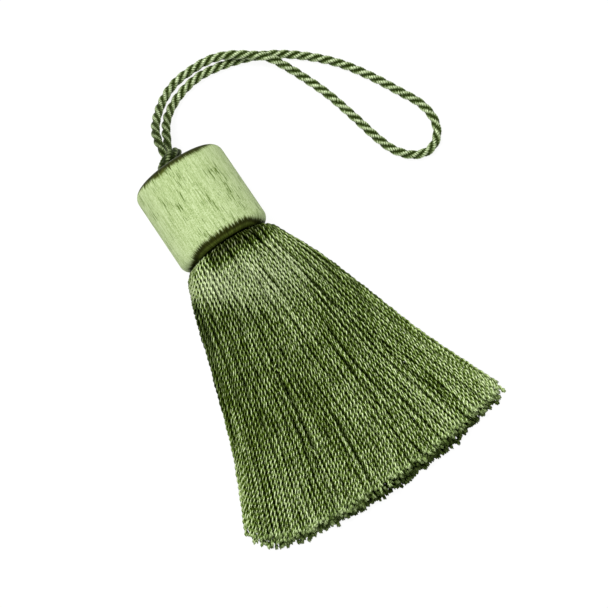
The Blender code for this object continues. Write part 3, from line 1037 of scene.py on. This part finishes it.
def yarn_material():
    """Rayon yarn: pale with a painted highlight on the plies' crowns where they face out of the
    bundle, and near black with painted shade in the grooves between them.
    """
    s = Shader("rayon_yarn")
    fibre = s.attribute("fibre", "Vector")
    crown = s.attribute("crown")
    painted_light_here = s.attribute("painted_light")
    streaks = s.noise(fibre, 3.0, (2.0, 2.0, 0.35))
    dashes = s.noise(fibre, 1.0, (0.25, 0.25, 0.55))
    stretches = s.noise(fibre, 1.0, (0.05, 0.05, 0.085))
    patches = s.noise(s.attribute("fan", "Vector"), 2.0, (0.30, 0.030, 0.1))
    # painted highlight where the plies' tops face out of the bundle
    facing = s.dot(s.node("ShaderNodeNewGeometry").outputs["Normal"],
                   s.attribute("way_out", "Vector"))
    painted_ridge_highlight = s.math("MULTIPLY", s.rise(facing, 0.72, 0.99), s.rise(crown, 0.20, 0.80))
    light = s.math("MULTIPLY_ADD", painted_ridge_highlight, 0.50, s.math("MULTIPLY", crown, 0.42))
    # the skirt's painted sheen and the head's painted shadow are added to the light here
    light = s.plus(light, (streaks, 0.4, -0.20), (dashes, 1.0, -0.50),
                   (s.rise(stretches, 0.30, 0.52), 0.26, -0.18), (patches, 0.7, -0.35),
                   (s.attribute("tone"), 0.06, 0), (painted_light_here, 0.75, 0))
    # painted shadow of the head on the skirt, which also makes the colour darker and greyer
    painted_head_shadow = s.math("MULTIPLY_ADD", painted_light_here, -1.4, -0.42, clamp=True)
    light = s.math("MULTIPLY_ADD", painted_head_shadow, 0.58, light)
    colour = s.ramp(light, (0.0, 0.037, 0.062, 0.004), (0.20, 0.082, 0.140, 0.013),
                    (0.45, 0.236, 0.328, 0.090), (0.92, 0.65, 0.76, 0.43))
    ends = s.ramp(light, (0.0, 0.085, 0.140, 0.022), (0.40, 0.28, 0.385, 0.13),
                  (0.85, 0.56, 0.68, 0.36))
    colour = s.mix(s.math("MULTIPLY", s.attribute("tip"), 0.7), colour, ends)
    # painted shade on yarns buried below their neighbours, weaker under the painted sheen
    covered = s.math("MULTIPLY_ADD", painted_light_here, -0.42, 0.5, clamp=True)
    deep = s.ramp(s.math("MULTIPLY", s.attribute("buried"), covered),
                  (0.12, 1, 1, 1), (0.60, 0.20, 0.23, 0.12))
    colour = s.times(colour, deep)
    colour = s.mix(painted_head_shadow, colour, s.times(colour, (0.46, 0.42, 0.48)))
    s.link(s.math("MULTIPLY_ADD", streaks, 0.2, 0.32), s.base.inputs["Roughness"])
    s.bump(streaks, 0.4, 0.00004)
    return s.finish(colour, {"Specular IOR Level": 0.03, "Metallic": 0.2})


def cord_material():
    """Rayon cord: pale with painted highlight where its plies' yarns stand out, dark with painted
    shade where the plies meet, and painted shade on the legs by the head and on the knot.
    """
    s = Shader("rayon_cord")
    fibre = s.attribute("fibre", "Vector")
    dark = s.attribute("dark")
    streaks = s.noise(fibre, 3.0, (2.25, 2.25, 0.75))
    grain = s.noise(fibre, 1.0, (2.6, 2.6, 4.5))
    # painted highlight on the plies' crowns and their yarns, painted shade where the plies meet
    crown = s.math("POWER", s.attribute("crown"), 3.8)
    light = s.math("MULTIPLY", crown, s.math("MULTIPLY_ADD", s.attribute("strand"), 0.65, 0.44))
    light = s.plus(light, (streaks, 1.1, -0.59), (grain, 1.5, -0.75))
    # painted shade on the legs by the head and on the knot, darker and greyer
    light = s.math("MULTIPLY_ADD", dark, -0.14, light, clamp=True)
    colour = s.ramp(light, (0.0, 0.020, 0.034, 0.002), (0.28, 0.040, 0.070, 0.008),
                    (0.52, 0.23, 0.30, 0.13), (0.92, 0.54, 0.63, 0.39))
    colour = s.mix(s.math("MULTIPLY", dark, 0.5), colour, s.times(colour, (0.36, 0.38, 0.28)))
    s.bump(streaks, 0.4, 0.00005)
    return s.finish(colour, {"Roughness": 0.4, "Specular IOR Level": 0.1, "Metallic": 0.15,
                             "Sheen Weight": 0.28, "Sheen Roughness": 0.35,
                             "Sheen Tint": (0.55, 0.70, 0.30, 1)})


def floss_material():
    """Satin floss, laid along the head; painted shade darkens it where it goes over the rims,
    with a painted reflection towards the rims' outer edges and a painted shadow where the
    head meets the skirt.
    """
    s = Shader("satin_floss")
    fibre = s.attribute("fibre", "Vector")
    fine = s.noise(fibre, 2.0, (3.1, 3.1, 0.30))
    broad = s.noise(fibre, 2.0, (2.1, 2.1, 0.05))
    grain = s.noise(fibre, 1.0, (3.4, 3.4, 3.2))
    satin = s.plus(s.math("MULTIPLY", fine, 0.42), (broad, 0.36, -0.24), (grain, 0.70, 0),
                   (s.attribute("flank"), 0.045, 0))
    colour = s.ramp(satin, (0.36, 0.25, 0.335, 0.125), (0.50, 0.385, 0.485, 0.225),
                    (0.62, 0.50, 0.60, 0.325))
    dents = s.noise(fibre, 1.0, (2.9, 2.9, 0.24))
    groups = s.noise(fibre, 1.0, (0.20, 0.20, 0.12))
    marks = s.ramp(s.plus(dents, (groups, -0.6, 0.30)),
                   (0.27, 0.30, 0.36, 0.18), (0.37, 1, 1, 1))
    colour = s.times(colour, marks)
    top, foot = s.attribute("over_top"), s.attribute("over_foot")
    jag = s.math("MULTIPLY_ADD", s.noise(fibre, 2.0, (2.4, 2.4, 0.02)), -0.9, 0.42)
    # painted shade over the top rim, with a painted reflection towards its outer edge
    top_rim_shade = s.ramp(top, (0.05, 0.130, 0.175, 0.040), (0.22, 0.048, 0.060, 0.010),
                   (0.38, 0.024, 0.029, 0.005), (0.58, 0.024, 0.028, 0.008),
                   (0.74, 0.100, 0.112, 0.072))
    # painted shade over the foot rim, a painted reflection below it, and a near black painted
    # shadow where the head meets the skirt
    foot_rim_shade = s.ramp(foot, (0.06, 0.050, 0.062, 0.007), (0.24, 0.020, 0.024, 0.003),
                   (0.40, 0.020, 0.024, 0.003), (0.56, 0.064, 0.086, 0.013),
                   (0.80, 0.050, 0.068, 0.009), (0.92, 0.006, 0.008, 0.001))
    threads = s.ramp(fine, (0.35, 0.55, 0.55, 0.55), (0.65, 1.45, 1.45, 1.45))
    colour = s.mix(s.rise(s.math("ADD", top, jag), -0.02, 0.26), colour, s.times(top_rim_shade, threads))
    colour = s.mix(s.rise(s.math("ADD", foot, jag), -0.08, 0.20), colour, s.times(foot_rim_shade, threads))
    s.bump(satin, 0.5, 0.00008)
    return s.finish(colour, {"Roughness": 0.5, "Specular IOR Level": 0.02})


def floor_material():
    """A table that is white by its own light, so that only soft shadows show on it."""
    s = Shader("white_table")
    place = s.node("ShaderNodeTexCoord").outputs["Object"]
    grain = s.noise(place, 4.0, (60.0, 60.0, 60.0))
    colour = s.ramp(grain, (0.3, 0.07, 0.07, 0.07), (0.7, 0.08, 0.08, 0.08))
    return s.finish(colour, {"Roughness": 0.9, "Specular IOR Level": 0.1,
                             "Emission Color": WHITE, "Emission Strength": 0.93})


# -------- stage

def add_floor():
    corners = FLOOR_HALF * np.array([(-1, -1, 0), (1, -1, 0), (1, 1, 0), (-1, 1, 0)])
    mesh = bpy.data.meshes.new("floor")
    mesh.from_pydata(corners.tolist(), [], [(0, 1, 2, 3)])
    mesh.materials.append(floor_material())
    floor = add_object("floor", mesh)


def add_studio():
    """One broad key light, and even white light from all round."""
    data = bpy.data.lights.new("key", "AREA")
    data.shape = "DISK"
    data.size = KEY_SIZE
    data.energy = KEY_POWER
    key = add_object("key", data)
    way = KEY_DIRECTION.normalized()
    key.location = way * KEY_DISTANCE
    key.rotation_euler = (-way).to_track_quat("-Z", "Y").to_euler()
    world = bpy.data.worlds.new("studio")
    world.use_nodes = True
    background = world.node_tree.nodes["Background"]
    background.inputs["Color"].default_value = WHITE
    background.inputs["Strength"].default_value = AMBIENT
    bpy.context.scene.world = world
    bpy.context.scene.view_settings.view_transform = "Standard"


add_camera()
add_floor()
add_studio()
cord_surface = cord_material()
loop, loop_centres = add_loop(cord_surface)
knot = add_knot(cord_surface)
add_head(floss_material())
add_skirt(yarn_material())
